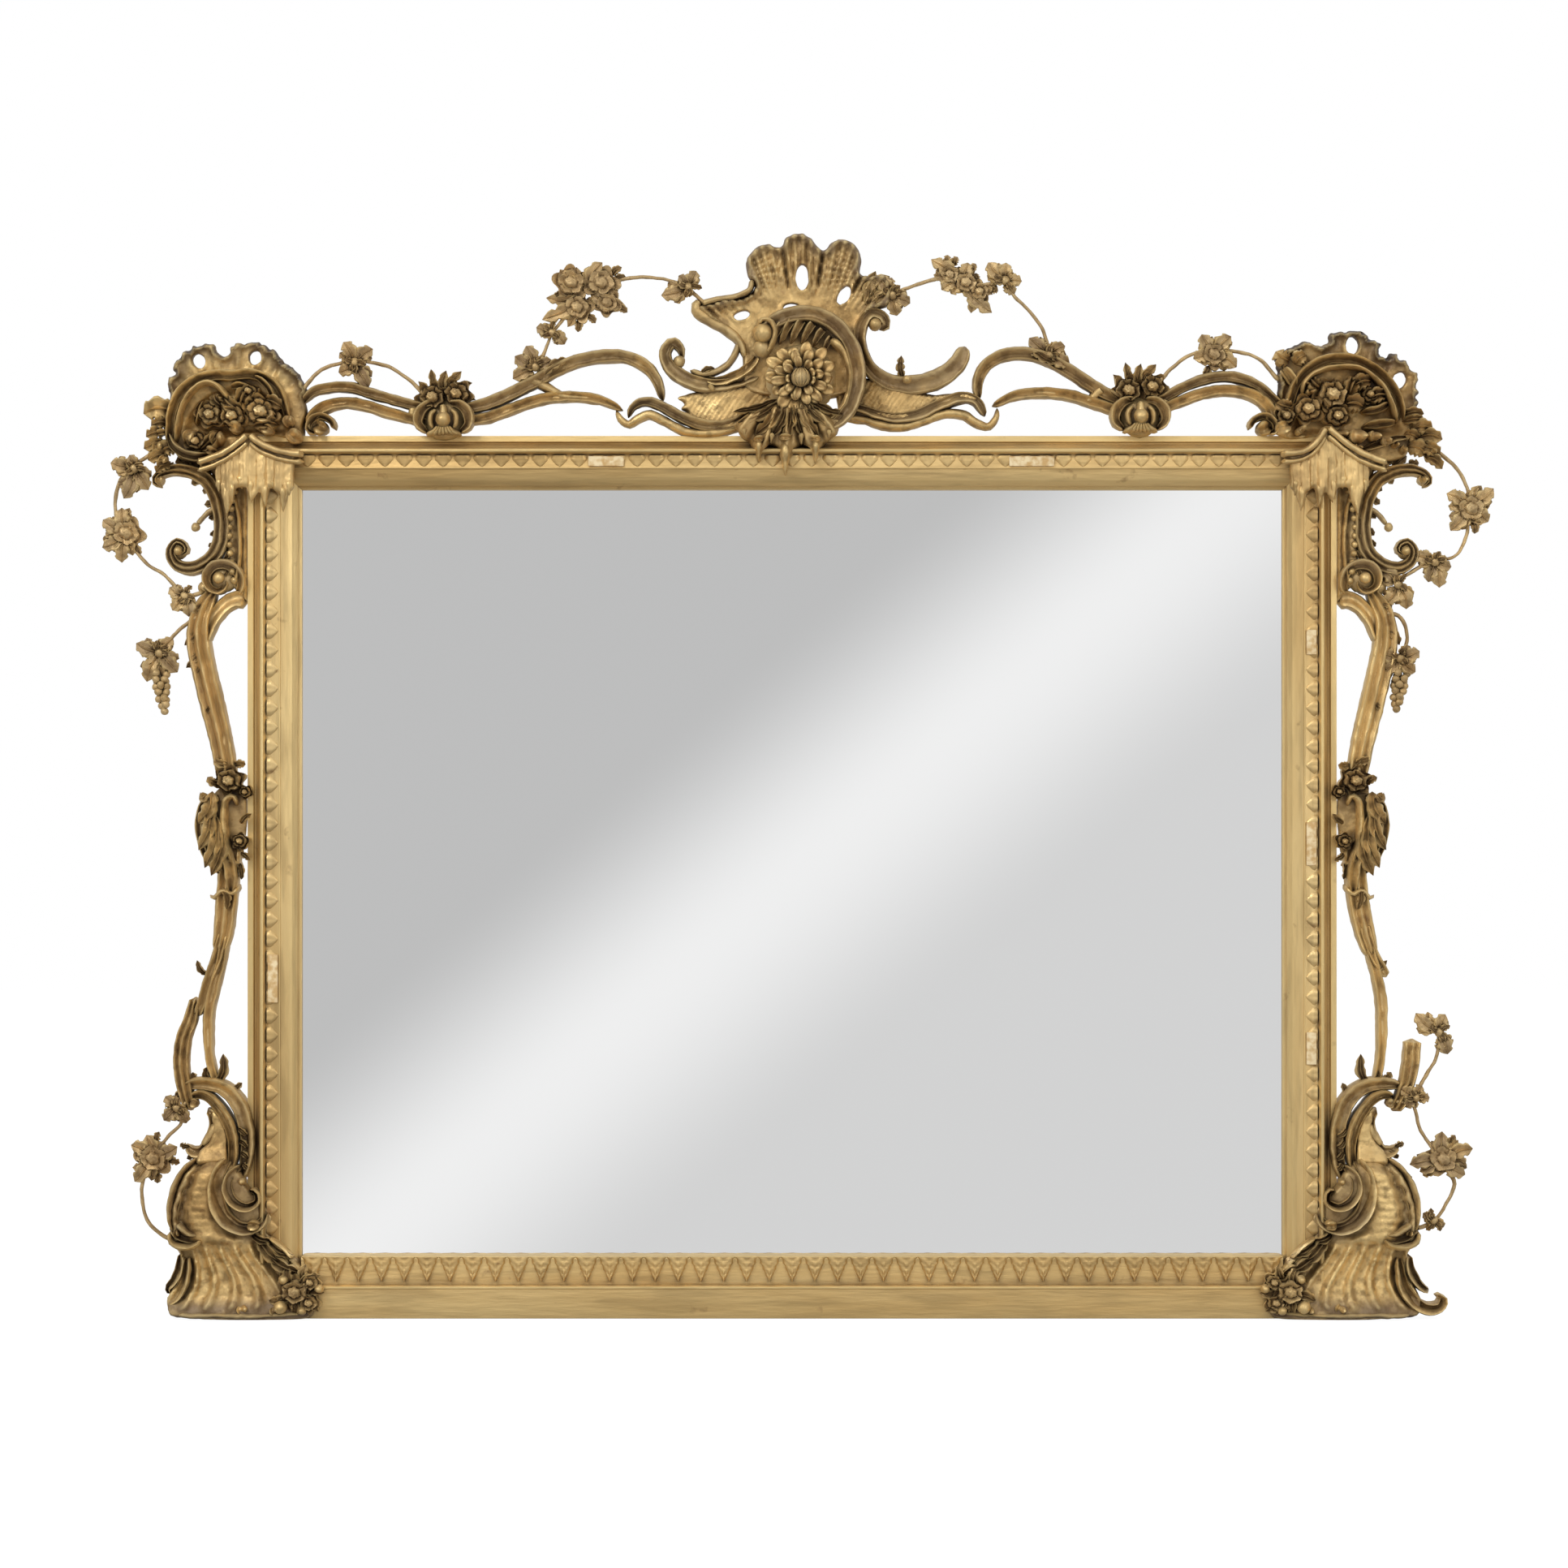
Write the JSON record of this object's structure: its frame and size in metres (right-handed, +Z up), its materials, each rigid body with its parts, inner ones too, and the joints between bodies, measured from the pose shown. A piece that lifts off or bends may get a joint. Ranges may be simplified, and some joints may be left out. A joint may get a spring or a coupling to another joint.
{
  "type": "overmantel mirror",
  "caption": "Wide wall mirror in a moulded gilt frame with a carved shell crest, scroll arches, side scroll brackets, flower garlands and rocaille feet; hanger rings fold at the back",
  "frame": {"origin": "underside of the bottom rail, at mid width and mid depth of the rails, where the frame stands on its shelf", "axes": "+X to the viewer's right along the width, +Y to the back towards the wall, +Z up; the glass faces -Y"},
  "size_m": [1.799, 0.0909, 1.401],
  "materials": {
    "gilt_rail": "water gilded over red bole, burnished on the broad bands and worn at the edges",
    "gilt_carving": "gilded carving with grey-brown dust in the hollows",
    "gilt_garland": "gilded composition leaves and flowers on wire, matt and toned",
    "mirror_glass": "flat silvered plate",
    "back_board": "bare sawn softwood",
    "hanger_brass": "dull brass"
  },
  "bodies": {
    "frame": {"top_rail": "gilt_rail", "bottom_rail": "gilt_rail", "left_stile": "gilt_rail", "right_stile": "gilt_rail", "top_leaf_band": "gilt_rail", "left_leaf_band": "gilt_rail", "right_leaf_band": "gilt_rail", "bottom_leaf_band": "gilt_rail", "mirror_plate": "mirror_glass", "arch_clasp_left": "gilt_carving", "arch_clasp_right": "gilt_carving", "arch_garland_left": "gilt_garland", "arch_garland_right": "gilt_garland", "arch_inner_left": "gilt_carving", "arch_inner_right": "gilt_carving", "arch_outer_left": "gilt_carving", "arch_outer_right": "gilt_carving", "back_board_1": "back_board", "back_board_2": "back_board", "back_board_3": "back_board", "base_flower_left": "gilt_carving", "base_flower_right": "gilt_carving", "base_garland_left": "gilt_garland", "base_garland_right": "gilt_garland", "base_rocaille_left": "gilt_carving", "base_rocaille_right": "gilt_carving", "base_scroll_left": "gilt_carving", "base_scroll_right": "gilt_carving", "corner_bouquet_left": "gilt_carving", "corner_bouquet_right": "gilt_carving", "corner_canopy_left": "gilt_carving", "corner_canopy_right": "gilt_carving", "corner_shell_left": "gilt_carving", "corner_shell_right": "gilt_carving", "crest_crescent": "gilt_carving", "crest_drops": "gilt_carving", "crest_flower": "gilt_carving", "crest_garland_left": "gilt_garland", "crest_garland_right": "gilt_garland", "crest_scroll_left": "gilt_carving", "crest_scroll_right": "gilt_carving", "crest_shell": "gilt_carving", "crest_wing_left": "gilt_carving", "crest_wing_right": "gilt_carving", "grape_spray_left": "gilt_garland", "grape_spray_right": "gilt_garland", "hanger_strap_left": "hanger_brass", "hanger_strap_right": "hanger_brass", "side_bar_lower_left": "gilt_carving", "side_bar_lower_right": "gilt_carving", "side_bar_upper_left": "gilt_carving", "side_bar_upper_right": "gilt_carving", "side_clasp_left": "gilt_carving", "side_clasp_right": "gilt_carving", "side_crook_left": "gilt_carving", "side_crook_right": "gilt_carving", "side_garland_left": "gilt_garland", "side_garland_right": "gilt_garland"},
    "ring_left": {"hanger_ring_left": "hanger_brass"},
    "ring_right": {"hanger_ring_right": "hanger_brass"}
  },
  "joints": [
    {"name": "ring_left_swing", "type": "hinge", "parent": "frame", "child": "ring_left", "pos_m": [-0.675, 0.0299, 0.969], "axis": [1, 0, 0], "range_deg": [0, 180]},
    {"name": "ring_right_swing", "type": "hinge", "parent": "frame", "child": "ring_right", "pos_m": [0.675, 0.0299, 0.969], "axis": [1, 0, 0], "range_deg": [0, 180]}
  ]
}
